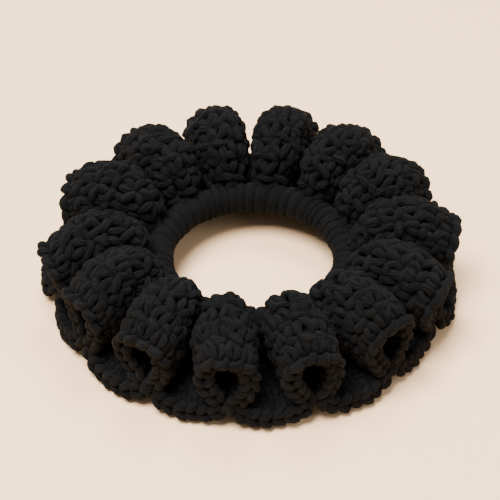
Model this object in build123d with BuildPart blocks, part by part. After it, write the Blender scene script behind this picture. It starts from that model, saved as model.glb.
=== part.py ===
from build123d import *
from math import cos, degrees, pi, radians, sin, tan
import os

# A crocheted scrunchie, lying flat: a hair elastic inside a foundation round of yarn, and a
# ruffle of yarn rounds that grow outwards from it in folds, ending in an edge round.
# Millimetres, +Z up. The origin is on the surface that it lies on, under the hair opening's centre.
# The yarn is cut into a left and a right half at X = 0, where the elastic lets them pull apart.

# The hair opening and the foundation round that borders it
opening_diameter = 51.0
foundation_diameter = 10.0

# The elastic inside the foundation round
strand_diameter = 1.1
strand_clearance = 0.05
cover_wall = 0.35
cover_clearance = 0.1
ferrule_wall = 0.3
ferrule_clearance = 0.05
ferrule_length = 9.0
elastic_room = 0.2

# The yarn's two ends, crocheted over inside the foundation round
tail_diameter = 1.3
tail_clearance = 0.1
tail_length = 32.0

# The ruffle: how many folds (an even number) and rounds of yarn, the gap that the first round
# leaves to the foundation round, and the gap between two rounds where they come nearest, which is
# on the slanting sides of the folds, at this share of the step from round to round
folds = 14
rounds = 7
foundation_clearance = 0.3
round_clearance = 0.04
nearest_share = 0.94

# The ruffle's shape in a vertical plane through the centre, with heights from the ring's middle
edge_radius = 64.8
crest_edge_inset = 2.6
crest_edge_height = 13.2
trough_edge_inset = 0.8
trough_edge_depth = 11.9
first_round_lift = 62.0

# How the crest line and the trough line bulge, in rounds: a step from the line's first point,
# outwards and up or down, and a step from its last point, inwards and up or down
crest_start_pull = (0.93, 2.54)
crest_end_pull = (2.84, 2.51)
trough_start_pull = (0.93, 1.6)
trough_end_pull = (3.02, 0.02)

# The room that a bend of the first round leaves inside it, and the gap between the edge round's
# neighbouring upper folds and between its neighbouring lower folds
first_bend_room = 0.6
crest_gap = 5.8
trough_gap = 1.8
flank_share = 0.19

# How far each bend's arc may run into the straight stretches beside it
bend_share = 0.48

# Where the two halves meet, and how far the lowest rounds are pressed flat by what they lie on
half_gap = 0.3
settled_depth = 0.35

# Worked out from the values above
foundation_radius = foundation_diameter / 2
ring_radius = opening_diameter / 2 + foundation_radius
fold_angle = 2 * pi / folds
lift_share = cos(radians(first_round_lift / 2))
first_room = (foundation_radius + foundation_clearance - round_clearance / 2) / lift_share
ruffle_reach = edge_radius - ring_radius - first_room
round_pitch = ruffle_reach / (rounds - 1 + nearest_share / 2 / lift_share)
rope_radius = (round_pitch * nearest_share - round_clearance) / 2
first_reach = (foundation_radius + foundation_clearance + rope_radius) / lift_share
first_rise = first_reach * sin(radians(first_round_lift))
first_radius = ring_radius + first_reach * cos(radians(first_round_lift))
crest_edge_radius = edge_radius - crest_edge_inset
trough_edge_radius = edge_radius - trough_edge_inset
first_half_width = rope_radius + first_bend_room
crest_half_width = crest_edge_radius * tan(fold_angle / 2) - rope_radius - crest_gap / 2
trough_half_width = trough_edge_radius * tan(fold_angle / 2) - rope_radius - trough_gap / 2
strand_step = strand_diameter + strand_clearance
cover_inner_radius = strand_step + strand_diameter / 2 + cover_clearance
cover_outer_radius = cover_inner_radius + cover_wall
ferrule_inner_radius = cover_outer_radius + ferrule_clearance
ferrule_outer_radius = ferrule_inner_radius + ferrule_wall
elastic_bore_radius = ferrule_outer_radius + elastic_room
tail_bore_radius = tail_diameter / 2 + tail_clearance
tail_offset = (foundation_radius + elastic_bore_radius) / 2


def fold_line(side, start_pull, end_pull, end_radius, end_height):
    """The line along the top (side 1) or the bottom (side -1) of a fold, from the first round out."""
    points = [
        (first_radius, first_rise),
        (first_radius + start_pull[0] * round_pitch, first_rise + start_pull[1] * round_pitch),
        (end_radius - end_pull[0] * round_pitch, end_height + end_pull[1] * round_pitch),
        (end_radius, end_height),
    ]
    with BuildLine(Plane.XZ) as line:
        Bezier(*[(radius, side * height) for radius, height in points])
    return line


# The crest line, the trough line and the flank line that every round is hung on
crest_line = fold_line(1, crest_start_pull, crest_end_pull, crest_edge_radius, crest_edge_height)
trough_line = fold_line(-1, trough_start_pull, trough_end_pull, trough_edge_radius, trough_edge_depth)
with BuildLine(Plane.XZ) as flank_line:
    Line((ring_radius + first_reach, 0), (edge_radius, 0))

# The ring's middle stands this high when the lowest rounds are pressed into the surface
ring_height = -trough_line.line.bounding_box().min.Z + rope_radius - settled_depth


def lerp(first, last, share):
    """A size that grows evenly from the first round to the edge round."""
    return first + (last - first) * share


def placed(radius, sideways, height, angle):
    """The point at this radius and sideways step on the vertical plane at this angle."""
    return Vector(
        radius * cos(angle) - sideways * sin(angle),
        radius * sin(angle) + sideways * cos(angle),
        ring_height + height,
    )


def fold_corners(share):
    """The right half's corners, fold by fold from the front, for the round at this share."""
    crest = crest_line.line @ share
    trough = trough_line.line @ share
    flank = flank_line.line @ share
    crest_step = lerp(first_half_width, crest_half_width, share)
    trough_step = lerp(first_half_width, trough_half_width, share)
    front = -pi / 2
    corners = [Vector(half_gap / 2, -trough.X, ring_height + trough.Z)]
    corners.append(placed(trough.X, trough_step, trough.Z, front))
    for fold in range(folds // 2):
        middle = front + (fold + 0.5) * fold_angle
        corners.append(placed(flank.X, 0, flank.Z, middle - flank_share * fold_angle))
        corners.append(placed(crest.X, -crest_step, crest.Z, middle))
        corners.append(placed(crest.X, crest_step, crest.Z, middle))
        corners.append(placed(flank.X, 0, flank.Z, middle + flank_share * fold_angle))
        following = middle + 0.5 * fold_angle
        corners.append(placed(trough.X, -trough_step, trough.Z, following))
        corners.append(placed(trough.X, trough_step, trough.Z, following))
    corners[-1] = Vector(half_gap / 2, trough.X, ring_height + trough.Z)
    return corners


def bend_radii(corners):
    """For each inner corner, the largest arc that its two straight stretches leave room for."""
    lengths = [(after - before).length for before, after in zip(corners, corners[1:])]
    lengths[0] *= 2
    lengths[-1] *= 2
    radii = []
    for index in range(1, len(corners) - 1):
        before = corners[index] - corners[index - 1]
        after = corners[index + 1] - corners[index]
        half_turn = radians(before.get_angle(after)) / 2
        shorter = min(lengths[index - 1], lengths[index])
        radii.append(bend_share * shorter / tan(half_turn))
    return radii


os.makedirs("parts", exist_ok=True)


def save_both_halves(right_half, name):
    """Label and write the right half, and the left half that mirrors it."""
    with BuildPart() as left_half:
        add(right_half.part)
        mirror(about=Plane.YZ, mode=Mode.REPLACE)
    for half, side in ((right_half, "right"), (left_half, "left")):
        half.part.label = f"{name}_{side}"
        export_step(half.part, f"parts/{half.part.label}.step")


# The rubber strands: one in the middle and six around it, each a closed ring
with BuildPart() as rubber_strands:
    with BuildSketch(Plane.XZ):
        with Locations((ring_radius, ring_height)):
            Circle(strand_diameter / 2)
            with PolarLocations(strand_step, 6):
                Circle(strand_diameter / 2)
    revolve(axis=Axis.Z)
rubber_strands.part.label = "rubber_strands"
export_step(rubber_strands.part, "parts/rubber_strands.step")

# The braided cover: a hollow ring round the strands
with BuildPart() as braided_cover:
    with BuildSketch(Plane.XZ):
        with Locations((ring_radius, ring_height)):
            Circle(cover_outer_radius)
            Circle(cover_inner_radius, mode=Mode.SUBTRACT)
    revolve(axis=Axis.Z)
braided_cover.part.label = "braided_cover"
export_step(braided_cover.part, "parts/braided_cover.step")

# The crimped ferrule that joins the elastic's two ends, on the left
ferrule_angle = degrees(ferrule_length / ring_radius)
with BuildPart() as crimp_ferrule:
    with BuildSketch(Plane.XZ.rotated((0, 0, 180 - ferrule_angle / 2))):
        with Locations((ring_radius, ring_height)):
            Circle(ferrule_outer_radius)
            Circle(ferrule_inner_radius, mode=Mode.SUBTRACT)
    revolve(axis=Axis.Z, revolution_arc=ferrule_angle)
crimp_ferrule.part.label = "crimp_ferrule"
export_step(crimp_ferrule.part, "parts/crimp_ferrule.step")

# The yarn tails: each lies along the elastic, under it, inside the foundation round
tail_angle = degrees(tail_length / ring_radius)
with BuildPart() as yarn_tail:
    with BuildSketch(Plane.XZ.rotated((0, 0, -tail_angle / 2))):
        with Locations((ring_radius, ring_height - tail_offset)):
            Circle(tail_diameter / 2)
    revolve(axis=Axis.Z, revolution_arc=tail_angle)
save_both_halves(yarn_tail, "yarn_tail")

# The foundation round: yarn wrapped round the elastic, with room for the elastic and a tail
with BuildPart() as foundation_round:
    with BuildSketch(Plane.XZ):
        with Locations((ring_radius, ring_height)):
            Circle(foundation_radius)
            Circle(elastic_bore_radius, mode=Mode.SUBTRACT)
    revolve(axis=Axis.Z)
    with BuildSketch(Plane.XZ.rotated((0, 0, -tail_angle / 2))):
        with Locations((ring_radius, ring_height - tail_offset)):
            Circle(tail_bore_radius)
    revolve(axis=Axis.Z, revolution_arc=tail_angle, mode=Mode.SUBTRACT)
    split(bisect_by=Plane.YZ.offset(half_gap / 2), keep=Keep.TOP)
save_both_halves(foundation_round, "foundation_round")

# The ruffle's rounds, from the ring outwards: one rope of stitches each, folded up and down
for round_index in range(rounds):
    corners = fold_corners(round_index / (rounds - 1))
    radii = bend_radii(corners)
    with BuildPart() as ruffle_round:
        with BuildLine() as route:
            FilletPolyline(*corners, radius=radii)
        with BuildSketch(Plane(origin=route.line @ 0, z_dir=route.line % 0)):
            Circle(rope_radius)
        sweep()
        split(bisect_by=Plane.XY, keep=Keep.TOP)
    is_edge = round_index == rounds - 1
    save_both_halves(ruffle_round, "edge_round" if is_edge else f"ruffle_round_{round_index + 1}")
    print(
        f"round {round_index + 1}: rope {route.wire().length:.1f} long,"
        f" bends from {min(radii):.1f} to {max(radii):.1f}"
    )
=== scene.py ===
import math

import bpy
import numpy as np
from mathutils import Matrix, Vector


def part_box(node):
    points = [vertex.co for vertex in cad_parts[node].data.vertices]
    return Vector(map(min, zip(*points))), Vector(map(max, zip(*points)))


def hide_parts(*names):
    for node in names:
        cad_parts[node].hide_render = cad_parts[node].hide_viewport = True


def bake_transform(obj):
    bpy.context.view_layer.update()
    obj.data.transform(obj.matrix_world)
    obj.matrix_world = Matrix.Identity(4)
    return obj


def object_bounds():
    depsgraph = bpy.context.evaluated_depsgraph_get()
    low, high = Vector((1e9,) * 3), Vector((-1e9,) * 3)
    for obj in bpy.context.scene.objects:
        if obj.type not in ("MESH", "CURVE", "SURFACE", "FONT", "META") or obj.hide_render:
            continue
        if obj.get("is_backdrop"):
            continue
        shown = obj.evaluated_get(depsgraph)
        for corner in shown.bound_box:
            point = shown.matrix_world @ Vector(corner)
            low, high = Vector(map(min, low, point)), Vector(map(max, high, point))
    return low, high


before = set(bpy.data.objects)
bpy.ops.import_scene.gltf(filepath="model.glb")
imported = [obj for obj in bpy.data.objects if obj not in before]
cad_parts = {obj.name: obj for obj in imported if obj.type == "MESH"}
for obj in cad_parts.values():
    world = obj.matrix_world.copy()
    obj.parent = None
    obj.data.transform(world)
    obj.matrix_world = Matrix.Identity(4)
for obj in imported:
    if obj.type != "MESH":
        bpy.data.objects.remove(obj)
cadLow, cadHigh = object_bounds()
mm = 0.001

# what the frame says about the wrapped ring and its elastic, and how far the ruffle stands out, up
# and down from the ring's middle line
ringLow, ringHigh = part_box("foundation_round_right")
coverLow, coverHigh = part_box("braided_cover")
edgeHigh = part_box("edge_round_right")[1]
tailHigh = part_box("yarn_tail_right")[1]
tubeRadius = (ringHigh.z - ringLow.z) / 2
ringRadius = ringHigh.x - tubeRadius
ringHeight = (ringHigh.z + ringLow.z) / 2
coverRadius = (coverHigh.z - coverLow.z) / 2
reach = edgeHigh.x - ringRadius
rise = cadHigh.z - ringHeight
drop = ringHeight - cadLow.z


def addNode(tree, kind, inputs=None, **settings):
    made = tree.nodes.new(kind)
    for name, value in settings.items():
        setattr(made, name, value)
    for name, value in (inputs or {}).items():
        socket = made.inputs[name]
        if isinstance(value, bpy.types.NodeSocket):
            tree.links.new(value, socket)
        else:
            socket.default_value = value
    return made


def addMath(tree, operation, a, b=0.0):
    return addNode(tree, "ShaderNodeMath", {0: a, 1: b}, operation=operation).outputs[0]


def addWholeMath(tree, operation, a, b):
    return addNode(tree, "FunctionNodeIntegerMath", {0: a, 1: b}, operation=operation).outputs[0]


def addVectorMath(tree, operation, a, b):
    # SCALE takes its number from an input of its own
    inputs = {0: a, "Scale": b} if operation == "SCALE" else {0: a, 1: b}
    return addNode(tree, "ShaderNodeVectorMath", inputs, operation=operation).outputs[0]


def addInput(tree, name, kind, default=None):
    socket = tree.interface.new_socket(name=name, in_out="INPUT", socket_type="NodeSocket" + kind)
    if default is not None:
        socket.default_value = default


def addOutput(tree, name, kind):
    tree.interface.new_socket(name=name, in_out="OUTPUT", socket_type="NodeSocket" + kind)


def setInputs(modifier, values):
    # a modifier's inputs are set by their sockets' identifiers
    for item in modifier.node_group.interface.items_tree:
        if item.item_type == "SOCKET" and item.in_out == "INPUT" and item.name in values:
            modifier[item.identifier] = values[item.name]


def newObject(name, data):
    made = bpy.data.objects.new(name, data)
    bpy.context.scene.collection.objects.link(made)
    return made


def smooth(x):
    x = np.clip(x, 0, 1)
    return x * x * (3 - 2 * x)


# The ruffle is a folded sheet that the stitches are laid on. Its top and bottom lines run from the
# ring to the edge, as shares of the reach and of the rise or the drop.
ruffle = {
    "folds": 14,
    "rounds": 7,
    "crestLine": [(0.083, 0.12), (0.105, 0.98), (0.52, 1.22), (0.85, 0.62)],
    "troughLine": [(0.083, 0.14), (0.139, 1.0), (0.54, 0.77), (0.895, 0.74)],
    "flankEnd": 0.84,          # share of the reach that the folds' sides get to
    "flankDrop": 0.08,         # and how far they sink there, a share of the drop
    "roundness": 1.25,         # above 1 the folds' ends are round tongues between those sides
    "bulge": (1.30, 1.24),     # how far the folds bulge over their necks, half way out and at the edge
    "lean": (0.30, 0.55),      # how much narrower the upper folds are than the lower, the same places
    "neck": (0.0, 0.15),       # how much wider the upper folds' necks are, the same places
    "openBy": 0.35,            # share of the way out where the folds have their full bulge
    "edgeFrom": 0.6,           # share of the way out where they start to take the edge's shape
    # Upper fold by upper fold, anticlockwise from the first one right of the front: how far it stands
    # from its even place at its outer and its inner end, in degrees, and how much higher and longer
    # it is, in percent
    "outerShifts": [1, 1, -2.5, -3, -0.5, -1.5, -2.5, -2.5, -1.5, 1.5, 9, 4, 2.5, 2.5],
    "innerShifts": [-2, -4, -2, 0, -1, 0, -0.5, -2, -2, -1, 0, 1, 2, -4],
    "heights": [-4, 1, -1, 2, 0, -2, 1, 0, -2, 1, 0, 2, 1, -4],
    "reaches": [0, 0, 8, 5, -6, -4, -5, -4, -2, 2, 12, 6, 2, 0],
    # the outer shifts and the lengths of the lower folds, from the front one on
    "lowerShifts": [2, 2.5, 1.5, 1.5, -2.5, -1, -1.5, -3, -3, -1, 4.5, 3, 5, 3.5],
    "lowerReaches": [-4, -3, -6, 3, 5, 0, 0, 0, 0, 0, 12, 0, -1, -4],
    "stepsPerFold": 40,
    "fineStepsPerFold": 240,   # from which the even steps are taken
    "stepsOut": 36,
    "under": 0.06,             # how far the sheet goes on inside the ring and past the edge, so that
    "over": 0.20,              # every stitch has something to lie on
}


def bezier(points, share):
    p = np.array(points, float)
    t = np.asarray(share, float)[..., None]
    return (1 - t) ** 3 * p[0] + 3 * (1 - t) ** 2 * t * p[1] + 3 * (1 - t) * t ** 2 * p[2] + t ** 3 * p[3]


def evenly(line, shares, fineSteps=400):
    # points at even shares of a line's length, which go straight on past its two ends
    fine = bezier(line, np.linspace(0, 1, fineSteps))
    steps = np.hypot(*np.diff(fine, axis=0).T)
    along = np.concatenate([[0], np.cumsum(steps)])
    inside = np.clip(shares, 0, 1) * along[-1]
    points = np.stack([np.interp(inside, along, fine[:, k]) for k in (0, 1)], -1)
    points += np.minimum(shares, 0)[:, None] * along[-1] * (fine[1] - fine[0]) / steps[0]
    points += np.maximum(shares - 1, 0)[:, None] * along[-1] * (fine[-1] - fine[-2]) / steps[-1]
    return points


def perFold(name, turn, firstFold):
    # a smooth run of the ruffle's values for each fold, the first of them this many folds from the front
    values = np.array(ruffle[name], float)
    place = turn / (2 * np.pi) - firstFold
    before = np.floor(place).astype(int)
    share = smooth(place - before)
    return values[before % len(values)] * (1 - share) + values[(before + 1) % len(values)] * share


def foldAngles(turn, shares, atEdge):
    # how far round the ring each point is: the folds bulge over their necks, and none is quite like
    # the next
    opened = smooth(shares / ruffle["openBy"])

    def opening(name):
        halfWay, edge = ruffle[name]
        return opened * (halfWay * (1 - atEdge) + edge * atEdge)

    wave = turn + opening("bulge") * np.sin(2 * turn) + opening("lean") * np.sin(turn)
    wave = wave + opening("neck") * np.sin(3 * turn)
    isUpper = smooth((1 - np.cos(turn)) / 2)
    upperShift = perFold("outerShifts", turn, 0.5) * isUpper
    outerShift = upperShift + perFold("lowerShifts", turn, 0) * (1 - isUpper)
    shift = perFold("innerShifts", turn, 0.5) * (1 - shares) + outerShift * shares
    return wave / ruffle["folds"] - np.pi / 2 + np.radians(shift)


def foldOffsets(turn, shares, atEdge):
    # how far out from the ring's middle line and above it each point is
    crest = evenly([(x * reach, y * rise) for x, y in ruffle["crestLine"]], shares)
    trough = evenly([(x * reach, -y * drop) for x, y in ruffle["troughLine"]], shares)
    neck = ruffle["crestLine"][0][0] * reach
    flank = neck + shares * (ruffle["flankEnd"] * reach - neck)
    lift = -np.cos(turn)       # a lower fold is at the front, where the two halves meet
    ends = np.abs(lift) ** (2 * ruffle["roundness"])
    foldLine = (crest[:, 0] + trough[:, 0] + lift * (crest[:, 0] - trough[:, 0])) / 2
    outwards = flank + ends * (foldLine - flank)
    outwards = outwards * (1 + np.clip(lift, 0, 1) * perFold("reaches", turn, 0.5) / 100)
    outwards = outwards * (1 + np.clip(-lift, 0, 1) * perFold("lowerReaches", turn, 0) / 100)
    upwards = lift * (crest[:, 1] - trough[:, 1]) / 2 + lift ** 2 * (crest[:, 1] + trough[:, 1]) / 2
    upwards = upwards * (1 + perFold("heights", turn, 0.5) / 100)
    upwards = upwards - (1 - lift ** 2) ** 2 * atEdge * ruffle["flankDrop"] * drop
    return outwards, upwards


def evenSteps(fine):
    # even steps fold by fold, so that the folds stay in line from round to round
    folds, stepsPerFold, finePerFold = ruffle["folds"], ruffle["stepsPerFold"], ruffle["fineStepsPerFold"]
    sheet = np.zeros((folds * stepsPerFold, fine.shape[1], 3))
    for out in range(fine.shape[1]):
        for fold in range(folds):
            stretch = fine[fold * finePerFold:(fold + 1) * finePerFold + 1, out]
            along = np.concatenate([[0], np.cumsum(np.linalg.norm(np.diff(stretch, axis=0), axis=1))])
            places = np.linspace(0, along[-1], stepsPerFold, endpoint=False)
            rows = slice(fold * stepsPerFold, (fold + 1) * stepsPerFold)
            for k in range(3):
                sheet[rows, out, k] = np.interp(places, along, stretch[:, k])
    return sheet


def foldedSheet():
    # the sheet's points[around][out], evenly spaced along each way round
    shares = np.linspace(-ruffle["under"], 1 + ruffle["over"], ruffle["stepsOut"] + 1)
    fineSteps = ruffle["folds"] * ruffle["fineStepsPerFold"]
    turn = np.linspace(0, 2 * np.pi * ruffle["folds"], fineSteps + 1)[:, None]
    atEdge = smooth((shares - ruffle["edgeFrom"]) / (1 - ruffle["edgeFrom"]))
    angle = foldAngles(turn, shares, atEdge)
    outwards, upwards = foldOffsets(turn, shares, atEdge)
    radius = ringRadius + outwards
    fine = np.stack([radius * np.cos(angle), radius * np.sin(angle), ringHeight + upwards], -1)
    return evenSteps(fine)


def guideObject(name, points):
    # a smooth grid with a UV map: round the ring in u, outwards in v
    around, out = points.shape[:2]
    faces, uvs = [], []
    for i in range(around):
        for j in range(out - 1):
            corners = [(i, j), (i, j + 1), (i + 1, j + 1), (i + 1, j)]
            faces.append([(a % around) * out + b for a, b in corners])
            uvs += [(a / around, b / (out - 1)) for a, b in corners]
    mesh = bpy.data.meshes.new(name)
    mesh.from_pydata(points.reshape(-1, 3).tolist(), [], faces)
    mesh.uv_layers.new(name="guide").data.foreach_set("uv", np.array(uvs, np.float32).ravel())
    mesh.polygons.foreach_set("use_smooth", np.ones(len(faces), bool))
    mesh.update()
    return newObject(name, mesh)


sheetPoints = foldedSheet()
ruffleGuide = guideObject("ruffle_guide", sheetPoints)
print("sheet folded,", len(sheetPoints), "steps round")

# The yarn, and the path that it takes through one stitch. Each point is (along the round in
# stitches, outwards in rounds, off the sheet in yarn radii, thickness).
yarn = {
    "radius": 1.24 * mm,
    "sides": 9,
    "segment": 1.12 * mm,
    "twist": 230.0,            # radians a metre that the fibres turn round the yarn
}

# a single crochet
crochetPath = [
    (0.02, 0.76, 0.95, 0.98),     # along the top, in front
    (0.36, 0.94, 1.60, 1.22),
    (0.78, 1.02, 1.00, 1.00),
    (0.92, 1.02, 0.00, 0.84),     # over the top and down the back
    (0.66, 0.80, -1.00, 0.96),
    (0.28, 0.42, -1.30, 1.06),
    (0.40, 0.02, -0.80, 0.90),    # through the foot to the front
    (0.48, -0.14, 0.10, 0.82),
    (0.36, 0.08, 1.15, 1.04),     # up the front
    (0.12, 0.42, 1.45, 1.24),
    (0.14, 0.70, 0.60, 0.94),
    (0.44, 0.84, -0.15, 0.80),    # across, behind the top loop
    (0.72, 0.72, 0.60, 0.94),     # down the front
    (0.80, 0.46, 1.35, 1.20),
    (0.66, 0.06, 1.20, 1.04),
    (0.55, -0.14, 0.00, 0.82),    # through the foot to the back
    (0.68, 0.08, -0.95, 0.92),
    (0.86, 0.46, -1.30, 1.08),    # up the back and on to the next stitch
    (0.52, 0.86, -1.05, 0.98),
    (0.92, 0.92, -1.45, 1.12),
    (1.10, 0.90, -0.45, 0.88),
]

# the last round, whose top loops lie open in a V on the edge, one in the other like a plait
edgePath = [
    (0.02, 1.05, 0.20, 0.98),     # the edge loop's front strand
    (0.40, 1.20, 0.95, 1.24),
    (0.84, 1.15, 1.75, 1.24),
    (1.04, 0.94, 0.90, 0.92),     # down the back
    (0.80, 0.70, -0.90, 0.96),
    (0.36, 0.36, -1.30, 1.06),
    (0.40, 0.02, -0.80, 0.90),    # through the foot to the front
    (0.48, -0.10, 0.10, 0.80),
    (0.34, 0.10, 1.00, 0.96),     # up the front
    (0.17, 0.42, 1.35, 1.12),
    (0.30, 0.74, 0.75, 0.94),
    (0.50, 0.86, 0.00, 0.80),     # across
    (0.72, 0.74, 0.75, 0.94),     # down the front
    (0.84, 0.42, 1.35, 1.12),
    (0.66, 0.08, 1.00, 0.96),
    (0.55, -0.10, 0.00, 0.80),    # through the foot to the back
    (0.68, 0.08, -0.95, 0.92),
    (0.72, 0.48, -1.30, 1.08),    # up the back
    (0.24, 0.82, -0.85, 0.96),
    (0.05, 1.04, -0.20, 0.98),    # the edge loop's back strand
    (0.42, 1.22, -0.95, 1.24),
    (0.86, 1.15, -1.75, 1.24),
    (1.08, 1.00, -0.80, 0.90),    # and on to the next stitch
]

# How far the yarn strays from its path where the unevenness is 1, in the path's own units
straying = {
    "point": (0.75, 0.55, 1.6),    # each point by itself
    "stitch": (1.0, 0.8, 1.8),     # and every stitch as a whole
    "thinnest": 0.92,              # and how much its thickness varies, whatever the unevenness
    "thickest": 1.08,
}
curvePoints = 4                # finer points between two of the path's, before the yarn is cut in segments


def readAttribute(tree, name, kind="FLOAT"):
    return addNode(tree, "GeometryNodeInputNamedAttribute", {"Name": name}, data_type=kind).outputs[0]


def storeAttribute(tree, geometry, name, value, kind="FLOAT"):
    return addNode(
        tree, "GeometryNodeStoreNamedAttribute", {"Geometry": geometry, "Name": name, "Value": value},
        data_type=kind, domain="POINT",
    ).outputs[0]


def stitchRow(tree, given, path):
    # one long closed row of points, with each one's stitch, its place in the path and its thickness
    count = addWholeMath(tree, "MULTIPLY", given["Stitches"], len(path))
    line = addNode(tree, "GeometryNodeMeshLine", {"Count": count}).outputs[0]
    curve = addNode(tree, "GeometryNodeMeshToCurve", {"Mesh": line}).outputs[0]
    row = addNode(tree, "GeometryNodeSetSplineCyclic", {"Geometry": curve, "Cyclic": True}).outputs[0]
    index = addNode(tree, "GeometryNodeInputIndex").outputs[0]
    stitch = addWholeMath(tree, "DIVIDE_FLOOR", index, len(path))
    pathIndex = addWholeMath(tree, "MODULO", index, len(path))
    place = addNode(tree, "GeometryNodeIndexSwitch", data_type="VECTOR")
    plump = addNode(tree, "GeometryNodeIndexSwitch", data_type="FLOAT")
    for switch in (place, plump):
        while len(switch.index_switch_items) < len(path):
            switch.index_switch_items.new()
        tree.links.new(pathIndex, switch.inputs[0])
    for k, (along, out, off, thickness) in enumerate(path):
        place.inputs[k + 1].default_value = (along, out, off)
        plump.inputs[k + 1].default_value = thickness
    return row, index, stitch, place.outputs[0], plump.outputs[0]


def strayVector(tree, given, ident, size, seedStep):
    # a random step for whatever shares an ident
    seed = addWholeMath(tree, "ADD", given["Seed"], seedStep)
    chance = addNode(
        tree, "FunctionNodeRandomValue",
        {"Min": (-1, -1, -1), "Max": (1, 1, 1), "ID": ident, "Seed": seed},
        data_type="FLOAT_VECTOR",
    ).outputs[0]
    most = addVectorMath(tree, "SCALE", size, given["Unevenness"])
    return addVectorMath(tree, "MULTIPLY", chance, most)


def onGuide(tree, given, stitch, place):
    # where a place in the stitch comes to lie on the guide
    local = addNode(tree, "ShaderNodeSeparateXYZ", {0: place}).outputs
    along = addMath(tree, "DIVIDE", addMath(tree, "ADD", local[0], stitch), given["Stitches"])
    out = addMath(tree, "MULTIPLY", local[1], given["Round Height"])
    out = addMath(tree, "ADD", out, given["Round Start"])
    spot = addNode(tree, "ShaderNodeCombineXYZ", {0: addMath(tree, "FRACT", along), 1: out}).outputs[0]
    guide = addNode(tree, "GeometryNodeObjectInfo", {"Object": given["Guide"]}).outputs["Geometry"]
    guideMap = readAttribute(tree, "guide", "FLOAT_VECTOR")

    def sampled(kind):
        value = addNode(tree, kind).outputs[0]
        return addNode(
            tree, "GeometryNodeSampleUVSurface",
            {"Mesh": guide, "Value": value, "UV Map": guideMap, "Sample UV": spot},
            data_type="FLOAT_VECTOR",
        ).outputs[0]

    off = addMath(tree, "MULTIPLY", local[2], given["Yarn Radius"])
    lifted = addVectorMath(tree, "SCALE", sampled("GeometryNodeInputNormal"), off)
    return addVectorMath(tree, "ADD", sampled("GeometryNodeInputPosition"), lifted)


def roundYarn(tree, given, row, index, girth):
    # a smooth tube along the row of points, with the place of each spot among the yarn's fibres
    thick = addNode(tree, "GeometryNodeSetCurveRadius", {"Curve": row, "Radius": girth}).outputs[0]
    bent = addNode(
        tree, "GeometryNodeCurveSplineType", {"Curve": thick}, spline_type="CATMULL_ROM"
    ).outputs[0]
    fine = addNode(
        tree, "GeometryNodeSetSplineResolution", {"Geometry": bent, "Resolution": curvePoints}
    ).outputs[0]
    cut = addNode(
        tree, "GeometryNodeResampleCurve", {"Curve": fine, "Length": given["Segment"]}, mode="LENGTH"
    ).outputs[0]
    length = addNode(tree, "GeometryNodeSplineParameter").outputs["Length"]
    line = storeAttribute(tree, cut, "alongYarn", length)
    circle = addNode(
        tree, "GeometryNodeCurvePrimitiveCircle",
        {"Resolution": given["Sides"], "Radius": given["Yarn Radius"]},
    ).outputs[0]
    step = addMath(tree, "DIVIDE", 2 * math.pi, given["Sides"])
    rim = storeAttribute(tree, circle, "roundYarn", addMath(tree, "MULTIPLY", index, step))
    scale = addNode(tree, "GeometryNodeInputRadius").outputs[0]
    tube = addNode(
        tree, "GeometryNodeCurveToMesh", {"Curve": line, "Profile Curve": rim, "Scale": scale}
    ).outputs[0]
    along = readAttribute(tree, "alongYarn")
    twisted = addMath(tree, "MULTIPLY", along, given["Twist"])
    angle = addMath(tree, "ADD", readAttribute(tree, "roundYarn"), twisted)
    fibre = addNode(
        tree, "ShaderNodeCombineXYZ",
        {0: addMath(tree, "COSINE", angle), 1: addMath(tree, "SINE", angle), 2: along},
    ).outputs[0]
    return storeAttribute(tree, tube, "fibrePlace", fibre, "FLOAT_VECTOR")


def stitchTree(name, path):
    # one endless yarn along the path, stitch after stitch, laid on a guide
    tree = bpy.data.node_groups.new(name, "GeometryNodeTree")
    addInput(tree, "Geometry", "Geometry")
    addInput(tree, "Guide", "Object")
    addInput(tree, "Stitches", "Int", 10)
    addInput(tree, "Round Start", "Float", 0.0)
    addInput(tree, "Round Height", "Float", 0.1)
    addInput(tree, "Yarn Radius", "Float", 0.001)
    addInput(tree, "Sides", "Int", 8)
    addInput(tree, "Segment", "Float", 0.001)
    addInput(tree, "Twist", "Float", 100.0)
    addInput(tree, "Unevenness", "Float", 0.1)
    addInput(tree, "Seed", "Int", 0)
    addInput(tree, "Material", "Material")
    addOutput(tree, "Geometry", "Geometry")
    given = tree.nodes.new("NodeGroupInput").outputs

    row, index, stitch, place, plump = stitchRow(tree, given, path)
    pointStray = strayVector(tree, given, index, straying["point"], 1)
    stitchStray = strayVector(tree, given, stitch, straying["stitch"], 2)
    strayed = addVectorMath(tree, "ADD", pointStray, stitchStray)
    position = onGuide(tree, given, stitch, addVectorMath(tree, "ADD", place, strayed))
    laid = addNode(tree, "GeometryNodeSetPosition", {"Geometry": row, "Position": position}).outputs[0]
    swell = addNode(
        tree, "FunctionNodeRandomValue",
        {2: straying["thinnest"], 3: straying["thickest"], "ID": index, "Seed": given["Seed"]},
        data_type="FLOAT",
    ).outputs[1]
    woven = roundYarn(tree, given, laid, index, addMath(tree, "MULTIPLY", plump, swell))
    real = addNode(tree, "GeometryNodeRealizeInstances", {"Geometry": woven}).outputs[0]
    finished = addNode(
        tree, "GeometryNodeSetMaterial", {"Geometry": real, "Material": given["Material"]}
    ).outputs[0]
    end = tree.nodes.new("NodeGroupOutput")
    tree.links.new(finished, end.inputs[0])
    return tree


bakeMargin = 0.04              # share of a strip that stays free on each side in the baking maps


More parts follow.
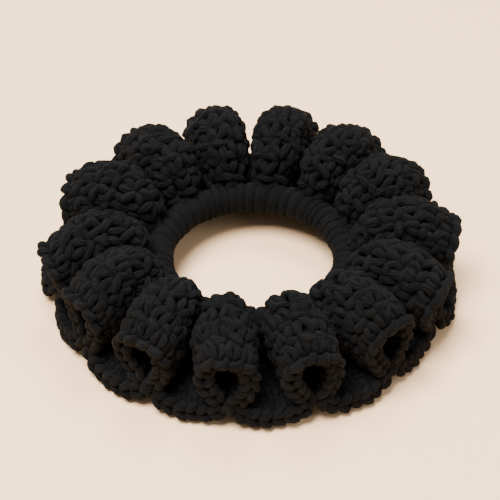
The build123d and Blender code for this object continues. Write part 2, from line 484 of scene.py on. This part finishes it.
def bakeMap(mesh, sides):
    # a UV map that lays the yarn out in even strips, side by side
    corners = np.zeros(len(mesh.loops), int)
    mesh.loops.foreach_get("vertex_index", corners)
    faceOf = np.repeat(np.arange(len(mesh.polygons)), 4)
    rings = len(mesh.vertices) // sides
    strips = max(1, round(math.sqrt(rings / sides)))
    perStrip = math.ceil(rings / strips)
    faceSide, faceRing = faceOf % sides, faceOf // sides
    side, ring = corners % sides, corners // sides
    side = np.where((side == 0) & (faceSide == sides - 1), sides, side)
    ring = np.where((ring == 0) & (faceRing == rings - 1), rings, ring)
    strip = faceRing // perStrip
    u = (ring - strip * perStrip) / perStrip
    v = (strip + bakeMargin + (1 - 2 * bakeMargin) * side / sides) / strips
    layer = mesh.uv_layers.new(name="OFBake")
    layer.data.foreach_set("uv", np.stack([u, v], -1).astype(np.float32).ravel())


def crochetRound(name, tree, stitches, start, height, look, unevenness, seed):
    # one round of yarn as a plain mesh
    maker = newObject(name + "_maker", bpy.data.meshes.new(name + "_maker"))
    modifier = maker.modifiers.new("stitches", "NODES")
    modifier.node_group = tree
    setInputs(modifier, {
        "Guide": ruffleGuide, "Stitches": stitches, "Round Start": start, "Round Height": height,
        "Yarn Radius": yarn["radius"], "Sides": yarn["sides"], "Segment": yarn["segment"],
        "Twist": yarn["twist"], "Unevenness": unevenness, "Seed": seed, "Material": look,
    })
    ready = maker.evaluated_get(bpy.context.evaluated_depsgraph_get())
    mesh = bpy.data.meshes.new_from_object(ready)
    bpy.data.objects.remove(maker)
    mesh.polygons.foreach_set("use_smooth", np.ones(len(mesh.polygons), bool))
    bakeMap(mesh, yarn["sides"])
    for spare in ("alongYarn", "roundYarn"):
        mesh.attributes.remove(mesh.attributes[spare])
    print(name, stitches, "stitches", len(mesh.polygons) * 2, "triangles")
    return newObject(name, mesh)


# The fine fibres that wind round a soft spun yarn. Places along the yarn are in metres.
fibreLook = {
    "alongScale": 120.0,       # how fast the fibres change along the yarn
    "plies": 0.45,             # the plies' fineness, a share of the fibres'
    "dyeScale": 120.0,         # fineness of the uneven dye
    "darkest": 0.3,            # the least that the shade comes down to
    "roughness": 0.80,
    "roughnessSpread": 0.2,
    "relief": 1.4 * mm,
}


def yarnFibres():
    group = bpy.data.node_groups.new("yarnFibres", "ShaderNodeTree")
    addInput(group, "Fineness", "Float", 4.0)
    addInput(group, "Depth", "Float", 1.0)
    addInput(group, "Shade Variation", "Float", 2.4)
    addOutput(group, "Shade", "Float")
    addOutput(group, "Roughness", "Float")
    addOutput(group, "Normal", "Vector")
    given = group.nodes.new("NodeGroupInput").outputs
    place = addNode(group, "ShaderNodeAttribute", attribute_name="fibrePlace").outputs["Vector"]
    drawnOut = addVectorMath(group, "MULTIPLY", place, (1.0, 1.0, fibreLook["alongScale"]))
    fibres = addNode(
        group, "ShaderNodeTexNoise",
        {"Vector": drawnOut, "Scale": given["Fineness"], "Detail": 3.0, "Roughness": 0.6},
    ).outputs[0]
    plyScale = addMath(group, "MULTIPLY", given["Fineness"], fibreLook["plies"])
    plies = addNode(
        group, "ShaderNodeTexNoise", {"Vector": drawnOut, "Scale": plyScale, "Detail": 1.0}
    ).outputs[0]
    where = addNode(group, "ShaderNodeTexCoord").outputs["Object"]
    dye = addNode(
        group, "ShaderNodeTexNoise", {"Vector": where, "Scale": fibreLook["dyeScale"], "Detail": 2.0}
    ).outputs[0]
    # the colour follows the ridges that also make the bump, so the grooves between fibres and plies are
    # darker: partly painted shade in the grooves, and partly the dye's real uneven tone
    ridges = addMath(group, "ADD", fibres, plies)
    # three noises, which are 0.5 each in the middle
    centred = addMath(group, "SUBTRACT", addMath(group, "ADD", ridges, dye), 1.5)
    shade = addMath(group, "ADD", 1.0, addMath(group, "MULTIPLY", centred, given["Shade Variation"]))
    shade = addMath(group, "MAXIMUM", shade, fibreLook["darkest"])
    rougher = addMath(group, "MULTIPLY", fibres, fibreLook["roughnessSpread"])
    rough = addMath(group, "ADD", fibreLook["roughness"], rougher)
    bump = addNode(
        group, "ShaderNodeBump",
        {"Strength": given["Depth"], "Distance": fibreLook["relief"], "Height": ridges},
    ).outputs[0]
    end = group.nodes.new("NodeGroupOutput")
    group.links.new(shade, end.inputs["Shade"])
    group.links.new(rough, end.inputs["Roughness"])
    group.links.new(bump, end.inputs["Normal"])
    return group


fibreGroup = yarnFibres()

yarnLook = {
    "colour": (0.0025, 0.0026, 0.0029),
    "sheen": 0.011,
    "sheenRoughness": 0.6,
    "sheenTint": (0.60, 0.61, 0.65, 1.0),
    "specular": 0.08,
}


def yarnMaterial(name, fineness=4.0, depth=1.0, variation=2.4, strength=1.0):
    # soft spun yarn: matt, a little fuzzy at glancing angles, with fibres along it
    look = bpy.data.materials.new(name)
    look.use_nodes = True
    tree = look.node_tree
    shader = tree.nodes["Principled BSDF"]
    fibres = addNode(
        tree, "ShaderNodeGroup",
        {"Fineness": fineness, "Depth": depth, "Shade Variation": variation}, node_tree=fibreGroup,
    )
    # a strength below 1 darkens the yarn's colour: painted shade
    dye = [part * strength for part in yarnLook["colour"]]
    dyed = addVectorMath(tree, "SCALE", dye, fibres.outputs["Shade"])
    tree.links.new(dyed, shader.inputs["Base Color"])
    tree.links.new(fibres.outputs["Roughness"], shader.inputs["Roughness"])
    tree.links.new(fibres.outputs["Normal"], shader.inputs["Normal"])
    shader.inputs["Sheen Weight"].default_value = yarnLook["sheen"]
    shader.inputs["Sheen Roughness"].default_value = yarnLook["sheenRoughness"]
    shader.inputs["Sheen Tint"].default_value = yarnLook["sheenTint"]
    shader.inputs["Specular IOR Level"].default_value = yarnLook["specular"]
    return look


ruffleYarn = yarnMaterial("ruffle_yarn")
edgeYarn = yarnMaterial("edge_yarn", fineness=3.6)
# the foundation yarn's colour is darkened to 0.55 as painted shade, for the shade that the folds cast on
# the ring below them
foundationYarnWithPaintedShade = yarnMaterial("foundation_yarn", fineness=5.0, strength=0.55)
tailYarn = yarnMaterial("yarn_tail", fineness=5.0)
coverLook = yarnMaterial("cover_yarn", fineness=7.0, depth=0.5)

crochet = {
    "stitchWidth": 3.95 * mm,
    "unevenness": 0.21,
    "edgeUnevenness": 0.08,
    "seed": 5,
}

crochetTree = stitchTree("crochetRound", crochetPath)
edgeTree = stitchTree("crochetEdge", edgePath)
sheetSpan = 1 + ruffle["under"] + ruffle["over"]
roundHeight = 1 / (ruffle["rounds"] * sheetSpan)
yarnPieces = []
for roundIndex in range(ruffle["rounds"]):
    start = ruffle["under"] / sheetSpan + roundIndex * roundHeight
    middle = round((start + roundHeight / 2) * ruffle["stepsOut"])
    ring = sheetPoints[:, middle]
    length = np.linalg.norm(ring - np.roll(ring, 1, axis=0), axis=1).sum()
    stitches = round(length / crochet["stitchWidth"])
    seed = crochet["seed"] + roundIndex
    if roundIndex == ruffle["rounds"] - 1:
        cadName, slotName = "edge_round", "edge_yarn"
        tree, look, unevenness = edgeTree, edgeYarn, crochet["edgeUnevenness"]
    else:
        cadName, slotName = f"ruffle_round_{roundIndex + 1}", "ruffle_yarn"
        tree, look, unevenness = crochetTree, ruffleYarn, crochet["unevenness"]
    piece = crochetRound(
        cadName + "_stitches", tree, stitches, start, roundHeight, look, unevenness, seed
    )
    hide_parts(cadName + "_left", cadName + "_right")
    yarnPieces.append(piece)
bpy.data.objects.remove(ruffleGuide)


def fibredObject(name, points, faces, uvs, fibres, look):
    # a smooth mesh with its baking map and the place of each point among the yarn's fibres
    mesh = bpy.data.meshes.new(name)
    mesh.from_pydata(points, [], faces)
    mesh.uv_layers.new(name="OFBake").data.foreach_set("uv", np.array(uvs, np.float32).ravel())
    places = mesh.attributes.new("fibrePlace", "FLOAT_VECTOR", "POINT")
    places.data.foreach_set("vector", np.array(fibres, np.float32).ravel())
    mesh.polygons.foreach_set("use_smooth", np.ones(len(faces), bool))
    mesh.materials.append(look)
    return newObject(name, mesh)


# The foundation round: one yarn wrapped round the elastic, each wrap pressed flat against the next
foundation = {
    "wraps": 52,
    "widthSpread": 0.45,       # how unevenly wide the wraps are, a share
    "heightSpread": 0.30 * mm,
    "crease": 0.8 * mm,        # how deep it is between two wraps
    "innerRadius": 3.65 * mm,  # leaves room for the elastic and the yarn's two ends
    "fibreWidth": 1.5,         # how far apart its fibres lie across a wrap
    "seed": 31,
    "stepsPerWrap": 10,
    "stepsRound": 28,
}


def wrapLines():
    # for each line across the tube, how far it is round the ring and how thick the tube is there, and
    # where it lies on its wrap
    wraps, perWrap = foundation["wraps"], foundation["stepsPerWrap"]
    chance = np.random.default_rng(foundation["seed"])
    widths = 1 + chance.uniform(-1, 1, wraps) * foundation["widthSpread"]
    starts = np.concatenate([[0], np.cumsum(widths)]) / widths.sum()
    heights = chance.uniform(-1, 1, wraps + 1) * foundation["heightSpread"]
    heights[-1] = heights[0]
    column = np.arange(wraps * perWrap)
    wrap, share = column // perWrap, (column % perWrap) / perWrap
    begin = starts[wrap] + (starts[wrap + 1] - starts[wrap]) * share
    across = 2 * share - 1
    domed = np.sqrt(1 - across ** 2)
    turn = np.linspace(0, 1, foundation["stepsRound"], endpoint=False)
    # one wrap further each time round, so that the yarn winds on
    nextBegin = np.roll(begin, -perWrap) + (column >= (wraps - 1) * perWrap)
    around = 2 * np.pi * (begin[:, None] * (1 - turn) + nextBegin[:, None] * turn)
    height = heights[wrap][:, None] * (1 - turn) + heights[wrap + 1][:, None] * turn
    outer = tubeRadius + height - foundation["crease"] * (1 - domed[:, None])
    along = (wrap[:, None] + turn) * 2 * np.pi * tubeRadius
    return turn, around, outer, across, domed, along


def wrapFace(i, j, isInner):
    # the four corners of a face, as steps round the ring and round the tube
    corners = [(i, j), (i + 1, j), (i + 1, j + 1), (i, j + 1)]
    return corners[::-1] if isInner else corners


def wrappedRing():
    perWrap, stepsRound = foundation["stepsPerWrap"], foundation["stepsRound"]
    turn, around, outer, across, domed, along = wrapLines()
    columns = len(across)
    inner = np.full_like(outer, foundation["innerRadius"])
    sideways = np.broadcast_to(across[:, None] * foundation["fibreWidth"], outer.shape)
    upwards = np.broadcast_to(domed[:, None], outer.shape)
    fibrePlaces = np.stack([sideways, upwards, along], -1).reshape(-1, 3).tolist()
    points, faces, uvs, fibres = [], [], [], []
    for layer, radius in enumerate((outer, inner)):
        phi = 2 * np.pi * turn[None, :]
        fromAxis = ringRadius + radius * np.cos(phi)
        above = ringHeight + radius * np.sin(phi)
        places = np.stack([fromAxis * np.cos(around), fromAxis * np.sin(around), above], -1)
        points += places.reshape(-1, 3).tolist()
        fibres += fibrePlaces
        for i in range(columns):
            for j in range(stepsRound):
                corners = wrapFace(i, j, layer == 1)
                face = []
                for a, b in corners:
                    if b == stepsRound:
                        a, b = a + perWrap, 0
                    face.append(layer * radius.size + (a % columns) * stepsRound + b)
                faces.append(face)
                uvs += [(a / columns, (b / stepsRound * (1 - bakeMargin) + layer) / 2) for a, b in corners]
    print("foundation_wraps", foundation["wraps"], "wraps", len(faces) * 2, "triangles")
    return fibredObject("foundation_wraps", points, faces, uvs, fibres, foundationYarnWithPaintedShade)


piece = wrappedRing()
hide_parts("foundation_round_left", "foundation_round_right")
yarnPieces.append(piece)

# The hair elastic inside the foundation round
elastic = {
    "strandRadius": 0.55 * mm,
    "strandStep": 1.15 * mm,   # from the middle strand to the ones round it
    "outerStrands": 6,
    "strandTurns": 9,          # how often the outer strands go round the middle one
    "strandSteps": 240,
    "strandSides": 12,
    "carriers": 8,             # the cover's yarns each way
    "coverTurns": 15,
    "carrierWidth": 0.62 * mm,
    "carrierHeight": 0.13 * mm,
    "weaveDepth": 0.10 * mm,
    "coverSteps": 480,
    "coverSides": 6,
}

# the yarn's two ends beside it
tailShape = {
    "radius": 0.56 * mm,
    "fromCover": 0.94 * mm,    # how far its middle lies from the cover, to clear the ferrule
    "plies": 3,
    "plyTurns": 6,
    "plySize": 0.56,           # a share of the tail's radius
    "bluntness": 24,           # how suddenly the ends are drawn in
    "endSize": 0.02,           # what is left there, before the square root
    "steps": 90,
    "sides": 10,
}


def tubeMesh(name, lines, look, sides):
    # joins tubes: each is (centre points, sideways directions, other directions, half sizes, closed)
    points, faces, uvs, fibres = [], [], [], []
    turn = np.linspace(0, 2 * np.pi, sides, endpoint=False)
    for which, (centres, first, second, halfSizes, isClosed) in enumerate(lines):
        base = len(points)
        steps = len(centres)
        width = np.broadcast_to(np.asarray(halfSizes[0]), steps)[:, None, None]
        height = np.broadcast_to(np.asarray(halfSizes[1]), steps)[:, None, None]
        ring = centres[:, None] + first[:, None] * np.cos(turn)[None, :, None] * width
        ring = ring + second[:, None] * np.sin(turn)[None, :, None] * height
        points += ring.reshape(-1, 3).tolist()
        along = np.concatenate([[0], np.cumsum(np.linalg.norm(np.diff(centres, axis=0), axis=1))])
        fibres += [(math.cos(angle), math.sin(angle), far) for far in along for angle in turn]
        for i in range(steps if isClosed else steps - 1):
            for j in range(sides):
                corners = [(i, j), (i + 1, j), (i + 1, j + 1), (i, j + 1)]
                faces.append([base + (a % steps) * sides + b % sides for a, b in corners])
                for a, b in corners:
                    strip = which + bakeMargin + (1 - 2 * bakeMargin) * b / sides
                    uvs.append((a / steps, strip / len(lines)))
        if not isClosed:
            faces.append([base + j for j in range(sides)])
            faces.append([base + (steps - 1) * sides + j for j in reversed(range(sides))])
            uvs += [(0.0, which / len(lines))] * (2 * sides)
    print(name, len(lines), "lines", sum(len(face) - 2 for face in faces), "triangles")
    return fibredObject(name, points, faces, uvs, fibres, look)


def besideTheRing(around, offset, phase, height=0.0):
    # a line beside the ring's middle line, and the two directions across it
    outward = np.stack([np.cos(around), np.sin(around), np.zeros_like(around)], -1)
    upward = np.zeros_like(outward) + (0, 0, 1)
    away = outward * np.cos(phase)[:, None] + upward * np.sin(phase)[:, None]
    middle = outward * ringRadius + upward * (ringHeight + height)
    centres = middle + away * np.broadcast_to(offset, around.shape)[:, None]
    tangent = np.gradient(centres, axis=0)
    tangent /= np.linalg.norm(tangent, axis=1)[:, None]
    first = np.cross(away, tangent)
    first /= np.linalg.norm(first, axis=1)[:, None]
    second = np.cross(tangent, first)
    return centres, first, second


spareSteps = 2                 # at each end of a closed line, to keep its directions even


def ringShares(steps):
    return np.arange(-spareSteps, steps + spareSteps) / steps


def closedLine(share, offset, phase, halfSizes):
    # a line that closes on itself, without its spare steps
    line = besideTheRing(2 * np.pi * share, offset, phase)
    return tuple(part[spareSteps:-spareSteps] for part in line) + (halfSizes, True)


def rubberStrands():
    share = ringShares(elastic["strandSteps"])
    halfSizes = (elastic["strandRadius"], elastic["strandRadius"])
    lines = [closedLine(share, 0.0, np.zeros_like(share), halfSizes)]
    for strand in range(elastic["outerStrands"]):
        phase = 2 * np.pi * (strand / elastic["outerStrands"] + elastic["strandTurns"] * share)
        lines.append(closedLine(share, elastic["strandStep"], phase, halfSizes))
    return tubeMesh("elastic_strands", lines, rubberLook, elastic["strandSides"])


def braidedCover():
    # flat yarns that wind both ways, each over one and under the next
    carriers, turns = elastic["carriers"], elastic["coverTurns"]
    share = ringShares(elastic["coverSteps"])
    middle = coverRadius - elastic["carrierHeight"] - elastic["weaveDepth"]
    halfSizes = (elastic["carrierWidth"], elastic["carrierHeight"])
    lines = []
    for way in (1, -1):
        for carrier in range(carriers):
            phase = 2 * np.pi * (carrier / carriers + way * turns * share)
            crossing = (way * carrier / carriers + 2 * turns * share) * carriers
            weave = elastic["weaveDepth"] * np.cos(np.pi * (crossing + carrier))
            lines.append(closedLine(share, middle + way * weave, phase, halfSizes))
    return tubeMesh("elastic_braid", lines, coverLook, elastic["coverSides"])


def yarnEnd(name, towards):
    # a few plies twisted together, drawn in at both ends, on the side at this angle
    height = -coverRadius - tailShape["fromCover"]
    halfAngle = math.asin(tailHigh.y / ringRadius)
    share = np.linspace(-1, 1, tailShape["steps"])
    drawnIn = np.sqrt(np.clip(1 - np.abs(share) ** tailShape["bluntness"], tailShape["endSize"], 1))
    size = tailShape["radius"] * tailShape["plySize"]
    offset = (tailShape["radius"] - size) * drawnIn
    lines = []
    for ply in range(tailShape["plies"]):
        phase = 2 * np.pi * (ply / tailShape["plies"] + tailShape["plyTurns"] * share / 2)
        line = besideTheRing(share * halfAngle + towards, offset, phase, height)
        lines.append(line + ((size * drawnIn, size * drawnIn), False))
    return tubeMesh(name, lines, tailYarn, tailShape["sides"])


strandRubber = {
    "colour": (0.03, 0.03, 0.03),
    "metallic": 0.0,
    "roughness": 0.55,
    "variation": 0.35,         # how much the shade varies
    "grain": 900.0,
    "drawn": (1.0, 1.0, 1.0),  # below 1, the grain is drawn out along that axis
    "bump": 0.35,
}
ferruleMetal = {
    "colour": (0.52, 0.53, 0.55),
    "metallic": 1.0,
    "roughness": 0.30,
    "variation": 0.25,
    "grain": 1600.0,
    "drawn": (1.0, 0.12, 1.0),
    "bump": 0.30,
}
broadGrain = 1 / 8             # the scale of the broad patches in both, a share of the grain's
roughnessVariation = 0.3
grainRelief = 0.2 * mm


def grainedMaterial(name, finish):
    # an even colour broken up by a fine grain in the object's own place
    look = bpy.data.materials.new(name)
    look.use_nodes = True
    tree = look.node_tree
    shader = tree.nodes["Principled BSDF"]
    where = addNode(tree, "ShaderNodeTexCoord").outputs["Object"]
    drawn = addVectorMath(tree, "MULTIPLY", where, finish["drawn"])
    fine = addNode(
        tree, "ShaderNodeTexNoise", {"Vector": drawn, "Scale": finish["grain"], "Detail": 4.0}
    ).outputs[0]
    broad = addNode(
        tree, "ShaderNodeTexNoise",
        {"Vector": where, "Scale": finish["grain"] * broadGrain, "Detail": 2.0},
    ).outputs[0]
    # two noises, which are 0.5 each in the middle
    both = addMath(tree, "SUBTRACT", addMath(tree, "ADD", fine, broad), 1.0)
    shade = addMath(tree, "ADD", 1.0, addMath(tree, "MULTIPLY", both, finish["variation"]))
    tree.links.new(addVectorMath(tree, "SCALE", finish["colour"], shade), shader.inputs["Base Color"])
    rougher = addMath(tree, "MULTIPLY", both, roughnessVariation)
    tree.links.new(addMath(tree, "ADD", finish["roughness"], rougher), shader.inputs["Roughness"])
    shader.inputs["Metallic"].default_value = finish["metallic"]
    relief = addNode(
        tree, "ShaderNodeBump", {"Strength": finish["bump"], "Distance": grainRelief, "Height": fine}
    ).outputs[0]
    tree.links.new(relief, shader.inputs["Normal"])
    return look


rubberLook = grainedMaterial("strand_rubber", strandRubber)
ferruleLook = grainedMaterial("ferrule_metal", ferruleMetal)

for piece, cadName, slotName in (
    (rubberStrands(), "rubber_strands", "rubber_strand"),
    (braidedCover(), "braided_cover", "elastic_cover"),
    (yarnEnd("yarn_end_left", math.pi), "yarn_tail_left", "yarn_tail"),
    (yarnEnd("yarn_end_right", 0), "yarn_tail_right", "yarn_tail"),
):
    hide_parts(cadName)
    yarnPieces.append(piece)
for slot in bpy.data.objects["crimp_ferrule"].material_slots:
    slot.material = ferruleLook

# the yarn and the elastic have their transforms baked into their meshes
for piece in yarnPieces:
    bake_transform(piece)
print("looks set,", len(yarnPieces), "pieces follow both halves")

low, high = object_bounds()
floorLook = {
    "halfSize": 6.0,
    "colour": (0.86, 0.57, 0.33),
    "roughness": 0.9,
}


def plainMaterial(name, colour, roughness):
    look = bpy.data.materials.new(name)
    look.use_nodes = True
    shader = look.node_tree.nodes["Principled BSDF"]
    shader.inputs["Base Color"].default_value = (*colour, 1.0)
    shader.inputs["Roughness"].default_value = roughness
    return look


def flatFloor(height):
    far = floorLook["halfSize"]
    mesh = bpy.data.meshes.new("floor")
    mesh.from_pydata([(-far, -far, 0), (far, -far, 0), (far, far, 0), (-far, far, 0)], [], [(0, 1, 2, 3)])
    mesh.transform(Matrix.Translation((0, 0, height)))
    mesh.materials.append(plainMaterial("pale_floor", floorLook["colour"], floorLook["roughness"]))
    return newObject("floor", mesh)


floor = flatFloor(min(0.0, low.z))
floor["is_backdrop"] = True

middlePoint = Vector((0, 0, ringHeight))

# each light's place, size, power and colour
lights = {
    "key": ((-0.32, -0.32, 1.2), 0.7, 58.0, (1.0, 0.98, 0.95)),
    "fill": ((0.9, -0.5, 0.7), 0.8, 6.0, (1.0, 1.0, 1.0)),
    "back": ((0.1, 0.55, 1.3), 0.6, 22.0, (1.0, 1.0, 1.0)),
}
studio = {
    "colour": (1.0, 0.96, 0.91, 1.0),
    "strength": 0.45,
}


def areaLight(name, place, size, power, colour):
    data = bpy.data.lights.new(name, "AREA")
    data.shape = "DISK"
    data.size = size
    data.energy = power
    data.color = colour
    light = newObject(name, data)
    light.location = place
    light.rotation_mode = "QUATERNION"
    light.rotation_quaternion = (middlePoint - Vector(place)).to_track_quat("-Z", "Y")


for name, values in lights.items():
    areaLight(name, *values)
world = bpy.data.worlds.new("studio")
world.use_nodes = True
world.node_tree.nodes["Background"].inputs["Color"].default_value = studio["colour"]
world.node_tree.nodes["Background"].inputs["Strength"].default_value = studio["strength"]
bpy.context.scene.world = world

view = {
    "azimuth": -3.2,           # degrees round from the front
    "elevation": 41.0,
    "roll": 0.25,
    "distance": 0.638,
    "lens": 142.5,
    "sensor": 36.0,
    "aside": -0.9 * mm,        # what the camera looks at, from the ring's middle, across and up the frame
    "above": 2.4 * mm,
}
turnBy, tilt = math.radians(view["azimuth"]), math.radians(view["elevation"])
back = Vector((math.sin(turnBy) * math.cos(tilt), -math.cos(turnBy) * math.cos(tilt), math.sin(tilt)))
right = Vector((0, 0, 1)).cross(back).normalized()
up = back.cross(right)
target = middlePoint + right * view["aside"] + up * view["above"]
cameraData = bpy.data.cameras.new("camera")
cameraData.lens = view["lens"]
cameraData.sensor_width = view["sensor"]
camera = newObject("camera", cameraData)
camera.rotation_mode = "QUATERNION"
rollBy = Matrix.Rotation(math.radians(view["roll"]), 3, back)
camera.rotation_quaternion = (rollBy @ Matrix((right, up, back)).transposed()).to_quaternion()
camera.location = target + back * view["distance"]
bpy.context.scene.camera = camera
print("floor, lights and camera placed")

low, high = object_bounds()
